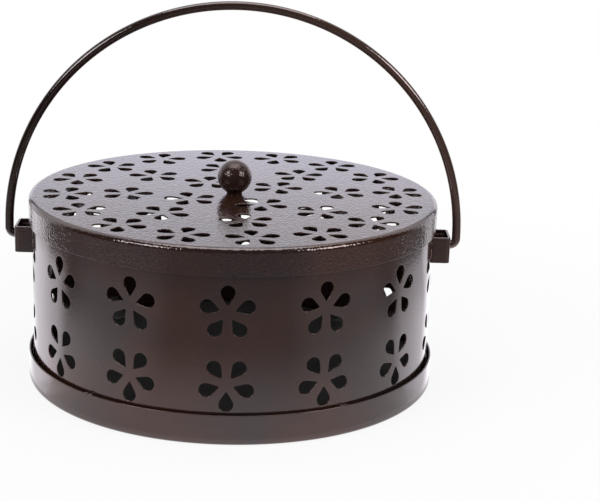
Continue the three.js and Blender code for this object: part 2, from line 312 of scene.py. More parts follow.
@dataclass(frozen=True)
class BronzePaint(Finish):
    """Dark bronze powder paint: brown with a violet cast, fine orange peel and thinner paint on cut edges."""

    brown: Colour = (0.056, 0.023, 0.014)
    violet: Colour = (0.036, 0.021, 0.019)
    # Lighter colour of the paint's flecks and thin cut edges, also used for the painted highlight towards +X.
    worn: Colour = (0.105, 0.060, 0.047)
    glance: Colour = (1.0, 0.94, 1.0)
    cloud: float = 34.0
    cloud_ramp: Ramp = (0.35, 0.65)
    # Painted highlight: share and X range over which the paint turns lighter towards +X.
    rubbed: float = 0.0
    rubbed_ramp: Ramp = (-0.06, 0.06)
    fleck_ramp: Ramp = (0.52, 0.74)
    fleck_share: float = 0.35
    edge_share: float = 0.25
    grain: float = 0.7
    grain_depth: float = 0.022
    peel: float = 3.0
    peel_depth: float = 0.02
    level_calm: float = 0.0
    level_ramp: Ramp = (0.0563, 0.0569)
    metal: float = 0.4
    gloss: float = 0.05
    fleck_gloss: float = 0.10
    ior: float = 1.9
    coat: float = 0.3
    coat_ior: float = 1.5
    coat_gloss: float = 0.01

    def shader(self, nodes: Nodes) -> Signal:
        """Brown and violet clouds under a clear top coat whose relief breaks up reflections.

        The paint turns lighter towards +X by a set share, a painted highlight for light from that side, and
        its grain is calmer by the share level_calm where it lies higher than level_ramp, which is the flat
        top of the lid.

        Args:
            nodes: Node tree that it goes into.

        Returns:
            The shader.
        """
        place = nodes.place()
        flecks = nodes.noise(place, self.grain, 3, 0.7)
        clouds = nodes.noise(place, self.cloud, 3).between(*self.cloud_ramp)
        colour = nodes.blend(clouds, self.brown, self.violet)
        for share in (
            # Painted highlight: lighter paint towards +X for light that falls from that side.
            nodes.part(place, "X").between(*self.rubbed_ramp) * self.rubbed,
            flecks.between(*self.fleck_ramp) * self.fleck_share,
            nodes.edge() * self.edge_share,
        ):
            colour = nodes.blend(share, colour, self.worn)
        peel = nodes.bump(nodes.noise(place, self.peel, 2), self.peel_depth)
        shown = 1 - self.level_calm * nodes.part(place, "Z").between(*self.level_ramp)
        inputs = {
            "Base Color": colour,
            "Metallic": self.metal,
            "Roughness": self.gloss + self.fleck_gloss * flecks,
            "IOR": self.ior,
            "Normal": nodes.bump(nodes.noise(place, self.grain, 0), self.grain_depth, peel, shown),
            "Coat Weight": self.coat,
            "Specular Tint": (*self.glance, 1.0),
            "Coat Roughness": self.coat_gloss + self.gloss,
            "Coat IOR": self.coat_ior,
        }
        return nodes.add("ShaderNodeBsdfPrincipled", {}, inputs)


@dataclass(frozen=True)
class ZincSteel(Finish):
    """Dull zinc-plated steel."""

    tone: Colour = (0.42, 0.42, 0.41)
    dark: Colour = (0.25, 0.25, 0.26)
    cloud: float = 1.8
    cloud_ramp: Ramp = (0.4, 0.7)
    gloss: float = 0.34
    cloud_gloss: float = 0.2
    scratch: float = 0.3
    scratch_depth: float = 0.004

    def shader(self, nodes: Nodes) -> Signal:
        """Cloudy grey metal with fine scratches.

        Args:
            nodes: Node tree that it goes into.

        Returns:
            The shader.
        """
        place = nodes.place()
        clouds = nodes.noise(place, self.cloud, 4, 0.6)
        inputs = {
            "Base Color": nodes.blend(clouds.between(*self.cloud_ramp), self.tone, self.dark),
            "Metallic": 1.0,
            "Roughness": self.gloss + self.cloud_gloss * clouds,
            "Normal": nodes.bump(nodes.noise(place, self.scratch, 3), self.scratch_depth),
        }
        return nodes.add("ShaderNodeBsdfPrincipled", {}, inputs)


@dataclass(frozen=True)
class GlassFelt(Finish):
    """Needled glass-fibre felt, greyed by ash."""

    pale: Colour = (0.048, 0.044, 0.042)
    ashen: Colour = (0.022, 0.020, 0.019)
    fibre: float = 0.5
    fibre_ramp: Ramp = (0.3, 0.7)
    fibre_depth: float = 0.12
    stain: float = 18.0
    stain_ramp: Ramp = (0.45, 0.75)
    stain_share: float = 0.6
    clump: float = 3.5
    clump_depth: float = 0.25
    gloss: float = 0.95

    def shader(self, nodes: Nodes) -> Signal:
        """Matt fibres in clumps with darker ash stains.

        Args:
            nodes: Node tree that it goes into.

        Returns:
            The shader.
        """
        place = nodes.place()
        fibres = nodes.noise(place, self.fibre, 6, 0.7)
        stains = nodes.noise(place, self.stain, 3).between(*self.stain_ramp)
        colour = nodes.blend(fibres.between(*self.fibre_ramp), self.ashen, self.pale)
        clumps = nodes.bump(nodes.noise(place, self.clump, 3), self.clump_depth)
        inputs = {
            "Base Color": nodes.blend(stains * self.stain_share, colour, self.ashen),
            "Roughness": self.gloss,
            "Normal": nodes.bump(fibres, self.fibre_depth, clumps),
        }
        return nodes.add("ShaderNodeBsdfPrincipled", {}, inputs)


BRONZE = BronzePaint("bronze_powder_paint", Slot.BRONZE)
GRAINED = BronzePaint("grained_powder_paint", Slot.BRONZE, grain_depth=0.1, level_calm=0.35)
BALL = BronzePaint(
    "ball_powder_paint", Slot.BRONZE, grain=0.6, grain_depth=0.13, gloss=0.14, ior=1.6, coat=0.15
)
# The wire's paint turns lighter towards +X: a painted highlight for light from the front right.
WIRE = BronzePaint(
    "wire_powder_paint", Slot.WIRE, brown=(0.026, 0.014, 0.010), violet=(0.018, 0.010, 0.008), rubbed=0.75
)
STEEL = ZincSteel("zinc_plated_steel", Slot.STEEL)
FELT = GlassFelt("glass_fibre_felt", Slot.FELT)


# Points and surfaces


def in_mm(box: Any) -> tuple[Array, Array]:
    """Lowest and highest corner of a CAD box in millimetres."""
    low, high = (np.array(corner) / MM for corner in box)
    return low, high


def bail_pivot() -> Array:
    """Point on the axis of the bail's hinge, in millimetres."""
    return np.array(next(j for j in frame["joints"] if j["name"] == "bail_swing")["pos_m"]) / MM


def join(*parts: Any) -> Array:
    """Coordinates side by side on a new last axis."""
    return np.stack(parts, -1)


def around(count: int) -> Array:
    """Angles of equal steps once round."""
    return np.arange(count) * TURN / count


def rays(angle: Any) -> Array:
    """Unit vectors (cos a, sin a)."""
    return join(np.cos(angle), np.sin(angle))


def unit(vectors: Array) -> Array:
    """Vectors scaled to length 1 along the last axis."""
    return vectors / np.maximum(np.linalg.norm(vectors, axis=-1, keepdims=True), 1e-12)


def smooth(x: Array) -> Array:
    """Smooth step from 0 to 1: 3x^2 - 2x^3 on x held between 0 and 1."""
    x = np.clip(x, 0, 1)
    return x * x * (3 - 2 * x)


def ripple(x: Array, y: Array, size: float, seed: int) -> Array:
    """Smooth irregular waves between about -1 and 1: a sum of six sine waves in seeded directions.

    Args:
        x: First coordinate.
        y: Second coordinate.
        size: Rough size of a wave.
        seed: Seed of the directions and phases.

    Returns:
        The height at each point.
    """
    total = np.zeros(np.broadcast(x, y).shape)
    for angle, pitch, phase in np.random.default_rng(seed).random((WAVES, 3)):
        along = x * np.cos(TURN * angle) + y * np.sin(TURN * angle)
        total += np.sin(TURN * (along / (size * (LEAST_PITCH + pitch)) + phase))
    return total * 2 / WAVES


def swept(line: Array, spin: Array) -> Array:
    """Each point (r, h) of a line at (r x, r y, h) for every ray (x, y)."""
    return np.concatenate([line[:, None, :1] * spin, np.repeat(line[:, None, 1:], len(spin), 1)], -1)


def bands(rows: Array, closed: bool = False) -> Array:
    """Four-cornered faces between neighbouring rings of point numbers.

    Args:
        rows: One ring of point numbers on each row.
        closed: Whether the last ring joins the first.

    Returns:
        The faces, which face right of the way from ring to ring seen along the ring.
    """
    upper = np.roll(rows, -1, 0) if closed else rows[1:]
    lower = rows if closed else rows[:-1]
    return join(lower, np.roll(lower, -1, 1), np.roll(upper, -1, 1), upper).reshape(-1, 4)


def fan(hub: int, ring: Array, is_last: bool) -> Array:
    """Triangles that close a surface between a pole and its first or last ring of point numbers."""
    corners = [np.full(len(ring), hub), ring, np.roll(ring, -1)]
    return join(*(corners if is_last else corners[:1] + corners[:0:-1]))


@dataclass
class Surface:
    """Points in millimetres with faces, and where they are known, normals and closeness to a cut edge."""

    points: Array
    faces: list[Array]
    normals: Array | None = None
    edge: Array | None = None

    def turned(self, angle: float) -> "Surface":
        """A copy turned about Z by an angle in radians.

        Args:
            angle: Angle, anticlockwise seen from above.

        Returns:
            The copy.
        """
        c, s = np.cos(angle), np.sin(angle)
        turn = np.array([[c, s, 0], [-s, c, 0], [0, 0, 1]])
        normals = None if self.normals is None else self.normals @ turn
        return Surface(self.points @ turn, self.faces, normals, self.edge)

    def packed(self) -> "Surface":
        """The surface without points that no face uses.

        Returns:
            The surface with its points renumbered.
        """
        used = np.unique(np.concatenate([faces.ravel() for faces in self.faces]))
        number = np.zeros(len(self.points), int)
        number[used] = np.arange(len(used))
        normals, edge = (None if v is None else v[used] for v in (self.normals, self.edge))
        return Surface(self.points[used], [number[faces] for faces in self.faces], normals, edge)

    def make(self, name: str, node: str, body: Body, finish: Finish) -> None:
        """Puts the surface into the scene in place of a CAD node.

        Args:
            name: Name of the piece.
            node: CAD node that it stands for.
            body: Body that it rides on.
            finish: Its finish.
        """
        rows = [row for faces in self.faces for row in faces.tolist()]
        mesh = new_mesh(name, self.points, rows, finish.build())
        mesh.polygons.foreach_set("use_smooth", np.ones(len(mesh.polygons), bool))
        if self.edge is not None:
            layer = mesh.attributes.new(EDGE_LAYER, "FLOAT", "POINT")
            layer.data.foreach_set("value", self.edge.astype(np.float32))
        if self.normals is not None:
            mesh.normals_split_custom_set_from_vertices(self.normals.tolist())
        mesh.validate()
        piece = put(name, mesh)
        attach(piece, body.value)
        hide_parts(node)
        log.info("%s stands for %s: %d points", name, node, len(self.points))


@dataclass
class Profile:
    """A line in radius and height with the metal on its left: its points, outward normals and edge values."""

    points: Array
    normals: Array
    edge: Array

    @classmethod
    def filleted(cls, corners: list[Triple], steps: int, closed: bool = False) -> "Profile":
        """Straight lines between corners, each corner rounded by an arc.

        The arc at a corner starts r * tan(turn / 2) before it, and its points are its centre plus or minus
        r times the outward normal, which turns at a steady rate.

        Args:
            corners: Radius, height and fillet radius of each corner. The two ends of an open line have 0.
            steps: Steps in each arc.
            closed: Whether the last corner joins the first.

        Returns:
            The profile. Small convex fillets count as cut edges.
        """
        data = np.array(corners, float)
        places, radii = data[:, :2], data[:, 2]
        count = len(places)
        points, normals, edge = [], [], []
        for i, (place, radius) in enumerate(zip(places, radii)):
            before = unit(place - places[i - 1])
            after = unit(places[(i + 1) % count] - place)
            if not closed and i == 0:
                before = after
            if not closed and i == count - 1:
                after = before
            turn = np.arctan2(before[0] * after[1] - before[1] * after[0], before @ after)
            side = 1.0 if turn >= 0 else -1.0
            steps_here = steps if radius > 0 else 0
            start = place - before * radius * np.tan(abs(turn) / 2)
            heading = np.arctan2(before[1], before[0]) + np.linspace(0, turn, steps_here + 1)
            out = join(np.sin(heading), -np.cos(heading))
            points.append(start + side * radius * (out - out[0]))
            normals.append(out)
            is_worn = side > 0 and 0 < radius < WORN_RADIUS
            edge.append(is_worn * np.sin(np.linspace(0, np.pi, steps_here + 1)))
        line, out, worn = (np.concatenate(parts) for parts in (points, normals, edge))
        kept = np.linalg.norm(line - np.roll(line, 1, 0), axis=1) > STEP
        return cls(line[kept], out[kept], worn[kept])

    @classmethod
    def traced(cls, points: Array) -> "Profile":
        """A dense line whose normals are the right-hand normals of its central differences."""
        along = unit(np.gradient(points, axis=0))
        return cls(points, join(along[:, 1], -along[:, 0]), np.zeros(len(points)))

    def revolve(self, turns: int, closed: bool = False) -> Surface:
        """Turns the line about Z: (r cos a, r sin a, h). A first or last point on the axis is a single pole.

        Args:
            turns: Steps round the axis.
            closed: Whether the last point joins the first.

        Returns:
            The closed surface.
        """
        points, normals = (swept(v, rays(around(turns))).reshape(-1, 3) for v in (self.points, self.normals))
        rows = np.arange(len(points)).reshape(-1, turns)
        poles = [] if closed else [row for row in (0, -1) if self.points[row, 0] < STEP]
        faces = [bands(rows[1 if 0 in poles else 0 : -1 if -1 in poles else None], closed)]
        faces += [fan(rows[pole, 0], rows[-2 if pole else 1], bool(pole)) for pole in poles]
        return Surface(points, faces, normals, np.repeat(self.edge, turns)).packed()


# Sheet metal


@dataclass
class Loops:
    """Closed outlines with the same number of points, anticlockwise, and the directions into the metal."""

    points: Array
    into: Array

    @classmethod
    def circle(cls, radius: float, count: int, is_hole: bool, x: float = 0.0, y: float = 0.0) -> "Loops":
        """One circle as an outline or a hole."""
        ray = rays(around(count))[None]
        return cls(np.array([x, y]) + radius * ray, ray if is_hole else -ray)

    @classmethod
    def rectangle(cls, low: Pair, high: Pair, pitch: float) -> "Loops":
        """One rectangle with points about a pitch apart. A corner's direction is the sum of its sides'.

        Args:
            low: Lowest corner.
            high: Highest corner.
            pitch: Rough distance between points.

        Returns:
            One loop, as an outline.
        """
        corners = np.array([low, (high[0], low[1]), high, (low[0], high[1])], float)
        points, into = [], []
        for start, end in zip(corners, np.roll(corners, -1, 0)):
            count = max(2, round(float(np.linalg.norm(end - start)) / pitch))
            along = unit(end - start)
            inward = np.tile([-along[1], along[0]], (count, 1))
            inward[0] += along
            points.append(start + (end - start) * np.arange(count)[:, None] / count)
            into.append(inward)
        return cls(np.concatenate(points)[None], np.concatenate(into)[None])

    def inset(self, depth: float) -> Array:
        """The outlines moved into the metal."""
        return self.points + depth * self.into


@dataclass(frozen=True)
class Blossom:
    """Five teardrop petals. A petal is the hull of a large circle at its tip and a small one at its root."""

    petals: int = 5
    radius: float = 8.0
    length: float = 6.0
    width: float = 4.1
    root_radius: float = 0.28
    tip_points: int = 18
    root_points: int = 5
    side_points: int = 2
    margin: float = 0.6

    def cut(self, x: Array, y: Array, heading: Array) -> Loops:
        """Petal holes of several blossoms.

        On both circles a point is the centre plus the radius times its normal. The normals turn once round,
        the large circle takes those that look outwards past its tangent angle, and the small one the rest.

        Args:
            x: Centre of each blossom.
            y: Centre of each blossom.
            heading: Direction of the first petal of each, in radians.

        Returns:
            One loop for each petal.
        """
        tip_radius = self.width / 2
        slope = np.arcsin(tip_radius / (self.length - tip_radius))
        tip_centre = self.radius - tip_radius
        root_centre = self.radius - self.length + self.root_radius / np.sin(slope)
        tip_out = rays(np.linspace(-QUARTER - slope, QUARTER + slope, self.tip_points))
        root_out = rays(np.linspace(QUARTER + slope, 3 * QUARTER - slope, self.root_points))
        tip = np.array([tip_centre, 0]) + tip_radius * tip_out
        root = np.array([root_centre, 0]) + self.root_radius * root_out
        share = np.arange(1, self.side_points + 1)[:, None] / (self.side_points + 1)
        near, far = (a[-1] + (b[0] - a[-1]) * share for a, b in ((tip, root), (root, tip)))
        line = np.concatenate([tip, near, root, far])
        beside = [np.tile(out[-1], (self.side_points, 1)) for out in (tip_out, root_out)]
        out = np.concatenate([tip_out, beside[0], root_out, beside[1]])
        turn = np.asarray(heading)[:, None] + around(self.petals)
        c, s = np.cos(turn).ravel()[:, None], np.sin(turn).ravel()[:, None]
        points, into = (join(c * v[:, 0] - s * v[:, 1], s * v[:, 0] + c * v[:, 1]) for v in (line, out))
        return Loops(points + np.repeat(join(x, y), self.petals, 0)[:, None], into)

    def keep_off(self, x: Array, y: Array) -> tuple[Array, float]:
        """Centres and reach of the blossoms, where a blank gets no points of its own."""
        return join(x, y), self.radius + self.margin


Form = Callable[[Array, Array], Array]


@dataclass
class Sheet:
    """A flat blank with holes, given its thickness and bent by a form.

    A form takes points of the blank and depths below its outer face, and returns points in space. Each cut
    edge is rounded by two quarter circles: at an angle a the wall of the cut stands radius * (1 - sin a)
    into the metal and radius * (1 - cos a) below the face.
    """

    outline: Loops
    holes: list[Loops]
    thickness: float
    form: Form
    edge_radius: float = 0.13
    arc_steps: int = 3
    fill_pitch: float = 1.7
    fill_shift: float = 0.1
    fill_seed: int = 7
    keep_off: list[tuple[Array, float]] = field(default_factory=list)
    skirt: Profile | None = None

    def fill(self, low: Array, high: Array) -> Array:
        """Points inside the blank, in shifted rows, clear of its outline and of the places to keep off.

        Args:
            low: Lowest corner of the blank.
            high: Highest corner of the blank.

        Returns:
            The points.
        """
        half = self.fill_pitch / 2
        y, x = np.mgrid[low[1] : high[1] : half * np.sqrt(3), low[0] : high[0] : self.fill_pitch]
        x[1::2] += half
        points = join(x.ravel(), y.ravel())
        rng = np.random.default_rng(self.fill_seed)
        points += rng.uniform(-self.fill_shift, self.fill_shift, points.shape)
        if self.skirt is not None:
            points = points[np.linalg.norm(points, axis=1) < high[0] - half]
        else:
            points = points[((points > low + half) & (points < high - half)).all(1)]
        for centres, reach in self.keep_off:
            points = points[np.linalg.norm(points[:, None] - centres[None], axis=2).min(1) > reach]
        return points

    def triangles(self) -> tuple[Array, Array]:
        """Points of the blank's face and its triangles, by constrained Delaunay triangulation.

        Returns:
            The points, outline first, then the holes in order, and the triangles outside the holes.
        """
        inset = 0.0 if self.skirt is not None else self.edge_radius
        loops = [self.outline.inset(inset)] + [hole.inset(self.edge_radius) for hole in self.holes]
        rim = loops[0].reshape(-1, 2)
        flat, edges, owner, start = [], [], [], 0
        for loop in (loop for loop_set in loops for loop in loop_set):
            number = start + np.arange(len(loop))
            edges += join(number, np.roll(number, -1)).tolist()
            owner.append(np.full(len(loop), len(owner)))
            flat.append(loop)
            start += len(loop)
        fill = self.fill(rim.min(0), rim.max(0))
        points = np.concatenate(flat + [fill])
        owner = np.concatenate(owner + [np.full(len(fill), -1)])
        cut = delaunay_2d_cdt([Vector(p) for p in points.tolist()], edges, [], 0, 1e-6)
        source = np.array([origin[0] for origin in cut[3]])
        triangles = source[np.array(cut[2])]
        own = owner[triangles]
        in_hole = (own[:, 0] == own[:, 1]) & (own[:, 1] == own[:, 2]) & (own[:, 0] > 0)
        return points, triangles[~in_hole]

    def build(self) -> Surface:
        """The bent sheet as one closed surface.

        Returns:
            Both faces and the walls of the cuts, or the skirt in place of the outer wall.
        """
        blank, triangles = self.triangles()
        count = len(blank)
        depths = [np.zeros(count), np.full(count, self.thickness)]
        points = [self.form(blank, depth) for depth in depths]
        normals = [self._out(blank, depths[0]), -self._out(blank, depths[1])]
        faces = [triangles, triangles[:, ::-1] + count]
        edge = [np.zeros(2 * count)]
        start, total = 0, 2 * count
        for number, loops in enumerate([self.outline, *self.holes]):
            shape = loops.points.shape[:2]
            top = start + np.arange(shape[0] * shape[1]).reshape(shape)
            if number == 0 and self.skirt is not None:
                spin = unit(loops.points[0])
                between = [swept(v[1:-1], spin) for v in (self.skirt.points, self.skirt.normals)]
                worn = self.skirt.edge[1:-1]
            else:
                between, worn = self._cut_wall(loops)
            rows = len(worn)
            middle = total + np.arange(rows * top.size).reshape(rows, *shape)
            stack = np.concatenate([top[None], middle, top[None] + count])
            walls = [bands(stack[:, i]) for i in range(shape[0])]
            faces += [wall[:, ::-1] for wall in walls] if number == 0 else walls
            points.append(between[0].reshape(-1, 3))
            normals.append(between[1].reshape(-1, 3))
            edge.append(np.repeat(worn, top.size))
            start += top.size
            total += rows * top.size
        return Surface(np.concatenate(points), faces, unit(np.concatenate(normals)), np.concatenate(edge))

    def _out(self, blank: Array, depth: Array) -> Array:
        """Outward normals: the way that a point moves as its depth shrinks."""
        return unit(self.form(blank, depth - STEP) - self.form(blank, depth + STEP))

    def _cut_wall(self, loops: Loops) -> tuple[list[Array], Array]:
        """Rows of points and normals through the thickness between the faces, and how worn each row is.

        Args:
            loops: The outline or the holes.

        Returns:
            Points and normals of the rows, and how worn each row is.
        """
        quarter = np.linspace(0, QUARTER, self.arc_steps + 1)
        lean = np.concatenate([quarter, QUARTER + quarter])[1:-1]
        inset = self.edge_radius * (1 - np.sin(lean))
        rise = self.edge_radius * (1 - np.abs(np.cos(lean)))
        depth = np.where(lean > QUARTER, self.thickness - rise, rise)
        depth[self.arc_steps] = self.thickness - self.edge_radius
        flat, into = loops.points.reshape(-1, 2), loops.into.reshape(-1, 2)
        points, normals = [], []
        for i, angle in enumerate(lean):
            place = flat + inset[i] * into
            level = np.full(len(place), depth[i])
            across = unit(self.form(place + STEP * into, level) - self.form(place - STEP * into, level))
            points.append(self.form(place, level))
            normals.append(np.cos(angle) * self._out(place, level) - np.sin(angle) * across)
        return [np.stack(points), np.stack(normals)], np.sin(lean)


@dataclass
class Fold:
    """Straight legs joined by bends in one plane. The outer face lies right of the way along the legs."""

    start: Pair
    legs: list[float]
    bend_radius: float
    thickness: float
    turn: float = QUARTER

    def __post_init__(self) -> None:
        """Works out the outer radius, the length of each bend and the whole length along the middle."""
        self.outer_radius = self.bend_radius + self.thickness
        self.bend = self.turn * (self.bend_radius + self.thickness / 2)
        self.length = sum(self.legs) + self.bend * (len(self.legs) - 1)

    def place(self, s: Array, depth: Array) -> tuple[Array, Array]:
        """Point at a length along the blank and a depth below its outer face.

        The way along turns left by share * turn in each bend. A point is the bend's centre, or its moving
        copy along a leg, plus the right-hand normal times the outer radius less the depth.

        Args:
            s: Length along the blank.
            depth: Depth below the outer face.

        Returns:
            The two coordinates in the plane.
        """
        heading = np.zeros_like(s)
        u = np.full_like(s, self.start[0])
        v = np.full_like(s, self.start[1] + self.outer_radius)
        way, passed, last = 0.0, 0.0, len(self.legs) - 1
        for i, leg in enumerate(self.legs):
            run = np.clip(s - passed, 0 if i else -np.inf, leg if i < last else np.inf)
            u = u + run * np.cos(way)
            v = v + run * np.sin(way)
            passed += leg
            if i < last:
                heading = heading + self.turn * np.clip((s - passed) / self.bend, 0, 1)
                way += self.turn
                passed += self.bend
        reach = self.outer_radius - depth
        return u + reach * np.sin(heading), v - reach * np.cos(heading)


def lump(size: Triple, seed: int, unevenness: float) -> Surface:
    """Weld bead on a flat foot: a dome (a cos u cos v, b cos u sin v, h sin u) with ripples.

    Args:
        size: Half length, half width and height.
        seed: Seed of the ripples.
        unevenness: Height of the ripples, as a share of the size.

    Returns:
        The bead over the origin, with its foot on the XY plane.
    """
    dome = rays(np.linspace(0, QUARTER, BEAD_STEPS))
    dome[-1, 0] = 0
    line = np.concatenate([[[0, 0], [0.5, 0]], dome])
    bead = Profile(line, line, np.zeros(len(line))).revolve(BEAD_TURNS)
    x, y, z = bead.points.T
    swell = 1 + unevenness * ripple(x + BEAD_LEAN * z, y, BEAD_WAVE, seed)
    bead.points = bead.points * swell[:, None] * np.array(size)
    bead.normals = None
    return bead


# The burner


@dataclass
class Box:
    """The pan, the pierced wall, the ears, the welds, the mat and its clips."""

    blossom: Blossom = field(default_factory=Blossom)
    sheet: float = 0.5
    rim_gap: float = 0.9
    corner_share: float = 0.9
    rim_edge: float = 0.16
    turns: int = 384
    row_heights: Pair = (17.7, 38.3)
    stroke: int = 7
    stroke_web: float = 6.75
    strip_pitch: float = 1.6
    lap: float = 3.0
    lap_ramp: float = 2.6
    lap_gap: float = 0.04
    seam_slit: float = 0.3
    tack_count: int = 5
    tack_start: float = -39.5
    tack_pull: float = 0.16
    tack_half: float = 1.6
    tack_sink: float = 0.12
    tack_bite: float = 0.1
    tack_unevenness: float = 0.10
    ear_sheet: float = 0.7
    ear_bend: float = 0.5
    ear_gap: float = 0.03
    ear_pitch: float = 0.35
    ear_fill_pitch: float = 0.45
    weld_seed: int = 11
    weld_unevenness: float = 0.12
    wire_hole: float = 1.7
    clip_count: int = 4
    clip_start: float = 45.0
    clip_width: float = 8.0
    clip_bend: float = 0.5
    clip_reach: float = 8.5
    clip_gap: float = 0.05
    clip_pitch: float = 0.4
    clip_fill_pitch: float = 0.5
    mat_edge: float = 0.8
    mat_foot: float = 0.3
    mat_rings: int = 14
    mat_ripple: float = 0.10
    mat_wave: float = 9.0
    mat_seed: int = 3
    mat_level: float = 1.0
    mat_fade: float = 1.5
    mat_turns: int = 240
    mat_steps: int = 5
    pan_steps: int = 6

    def __post_init__(self) -> None:
        """Reads the main sizes from the frame."""
        self.pan_radius, _, self.pan_height = in_mm(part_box("base_pan"))[1]
        low, high = in_mm(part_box("wall_band"))
        self.wall_radius, self.wall_bottom, self.wall_top = high[0], low[2], high[2]

    def build(self) -> None:
        """Makes every piece of the box."""
        self.pan().make("drawn_pan", "base_pan", Body.BOX, BRONZE)
        self.wall().make("pierced_wall", "wall_band", Body.BOX, BRONZE)
        for i in range(self.tack_count):
            angle = np.radians(self.tack_start + i * 360 / self.tack_count)
            self.tack(angle, i).make(f"rim_tack_{i + 1}", f"weld_tack_{i + 1}", Body.BOX, BRONZE)
        for side, turn, front in (("right", 0.0, -1), ("left", np.pi, 1)):
            self.ear().turned(turn).make(f"bent_ear_{side}", f"ear_{side}", Body.BOX, BRONZE)
            for end, across in (("front", front), ("back", -front)):
                bead = self.ear_weld(across).turned(turn)
                bead.make(f"bead_{side}_{end}", f"ear_weld_{side}_{end}", Body.BOX, BRONZE)
        self.mat().make("felt_mat", "fireproof_mat", Body.BOX, FELT)
        for i in range(self.clip_count):
            angle = np.radians(self.clip_start + i * 360 / self.clip_count)
            self.clip().turned(angle).make(f"bent_clip_{i + 1}", f"mat_clip_{i + 1}", Body.BOX, STEEL)

    def pan(self) -> Surface:
        """Drawn pan. Each tack draws the rim in: r - pull * (1 + cos 5a) / 2, growing with the height.

        Returns:
            The pan.
        """
        inner_corner = self.rim_gap * self.corner_share
        inner = self.pan_radius - self.sheet
        corners = [
            (0, 0, 0),
            (self.pan_radius, 0, inner_corner + self.sheet),
            (self.pan_radius, self.pan_height, self.rim_edge),
            (inner, self.pan_height, self.rim_edge),
            (inner, self.sheet, inner_corner),
            (0, self.sheet, 0),
        ]
        pan = Profile.filleted(corners, self.pan_steps).revolve(self.turns)
        x, y, z = pan.points.T
        phase = self.tack_count * (np.arctan2(x, -y) - np.radians(self.tack_start))
        pull = self.tack_pull * (1 + np.cos(phase)) / 2 * smooth(z / self.pan_height)
        pan.points[:, :2] *= (1 - pull / np.maximum(np.hypot(x, y), 1.0))[:, None]
        return pan

    def bend_wall(self, blank: Array, depth: Array) -> Array:
        """Rolls the strip: (r sin a, -r cos a, h), a = 90 degrees + s / R. One end steps in at the seam.

        Args:
            blank: Points of the flat strip.
            depth: Depth of each below the outer face.

        Returns:
            The points in space.
        """
        s, height = blank.T
        angle = QUARTER + s / self.wall_radius
        seam = self.seam_slit / 2 - np.pi * self.wall_radius
        step = smooth((seam + self.lap_ramp - s) / self.lap_ramp)
        radius = self.wall_radius - depth - step * (self.sheet + self.lap_gap)
        return join(radius * np.sin(angle), -radius * np.cos(angle), height)

    def wall(self) -> Surface:
        """Rolled strip with two rows of blossoms, each of two strokes. The lower row is upside down.

        Returns:
            The wall.
        """
        quarter_length = QUARTER * self.wall_radius
        reach = quarter_length - self.blossom.radius - self.stroke_web / 2
        place = np.linspace(-reach, reach, self.stroke)
        along = np.concatenate([place - quarter_length, place + quarter_length])
        x = np.tile(along, 2)
        y = np.repeat(self.row_heights, len(along))
        heading = np.repeat([-QUARTER, QUARTER], len(along))
        half = np.pi * self.wall_radius - self.seam_slit / 2
        ends = ((-half - self.lap, self.wall_bottom), (half, self.wall_top))
        return Sheet(
            outline=Loops.rectangle(*ends, self.strip_pitch),
            holes=[self.blossom.cut(x, y, heading)],
            thickness=self.sheet,
            form=self.bend_wall,
            keep_off=[self.blossom.keep_off(x, y)],
        ).build()

    def tack(self, angle: float, seed: int) -> Surface:
        """Weld tack on the rim that closes the gap to the wall, under the paint.

        Args:
            angle: Turn round the box in radians.
            seed: Seed of its ripples.

        Returns:
            The tack.
        """
        low, high = in_mm(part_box("weld_tack_1"))
        inner, outer = self.wall_radius - self.tack_bite, self.pan_radius
        bead = lump((self.tack_half, (outer - inner) / 2, high[2] - low[2]), seed, self.tack_unevenness)
        bead.points += np.array([0, -(inner + outer) / 2, self.pan_height - self.tack_sink])
        return bead.turned(angle)

    def ear(self) -> Surface:
        """Strip bent to a channel round the end of the wire, with a hole for it.

        Returns:
            The ear on the +X side.
        """
        low, high = in_mm(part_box("ear_right"))
        half, corner = high[1], self.ear_bend + self.ear_sheet
        root = np.sqrt(self.wall_radius**2 - half**2) + self.ear_gap
        leg = high[0] - corner - root
        fold = Fold((root, -half), [leg, 2 * (half - corner), leg], self.ear_bend, self.ear_sheet)

        def form(blank: Array, depth: Array) -> Array:
            """Bends the strip round the Z axis and keeps its height."""
            return join(*fold.place(blank[:, 0], depth), blank[:, 1])

        hole = Loops.circle(self.wire_hole, 40, True, fold.length / 2, bail_pivot()[2])
        return Sheet(
            outline=Loops.rectangle((0, low[2]), (fold.length, high[2]), self.ear_pitch),
            holes=[hole],
            thickness=self.ear_sheet,
            form=form,
            fill_pitch=self.ear_fill_pitch,
            keep_off=[(hole.points.mean(1), self.wire_hole + self.ear_pitch)],
        ).build()

    def ear_weld(self, side: int) -> Surface:
        """Weld bead in the corner between the wall and a leg of the ear on the +X side.

        Args:
            side: -1 for the leg in front, 1 for the leg behind.

        Returns:
            The bead.
        """
        low, high = in_mm(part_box(f"ear_weld_right_{'front' if side < 0 else 'back'}"))
        size = high - low
        bead = lump((size[0] / 2, size[2] / 2, size[1]), self.weld_seed + side, self.weld_unevenness)
        x, y, z = bead.points.T
        leg_face = high[1] if side > 0 else low[1]
        middle = (low + high) / 2
        bead.points = join(x + middle[0], leg_face - side * z, side * y + middle[2])
        return bead

    def mat(self) -> Surface:
        """Felt disc with a soft edge and an uneven top: height plus ripples that fade to its rim.

        Returns:
            The mat.
        """
        low, high = in_mm(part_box("fireproof_mat"))
        radius, bottom, top = high[0], low[2], high[2]
        flat = [(radius * i / self.mat_rings, top, 0) for i in range(self.mat_rings - 1, -1, -1)]
        corners = [(0, bottom, 0), (radius, bottom, self.mat_foot), (radius, top, self.mat_edge), *flat]
        mat = Profile.filleted(corners, self.mat_steps).revolve(self.mat_turns)
        mat.normals = None
        x, y, z = mat.points.T
        on_top = smooth((z - bottom - self.mat_level) / self.mat_fade)
        waves = ripple(x, y, self.mat_wave, self.mat_seed)
        mat.points[:, 2] -= on_top * self.mat_ripple * (1 + np.clip(waves, -1, 1))
        return mat

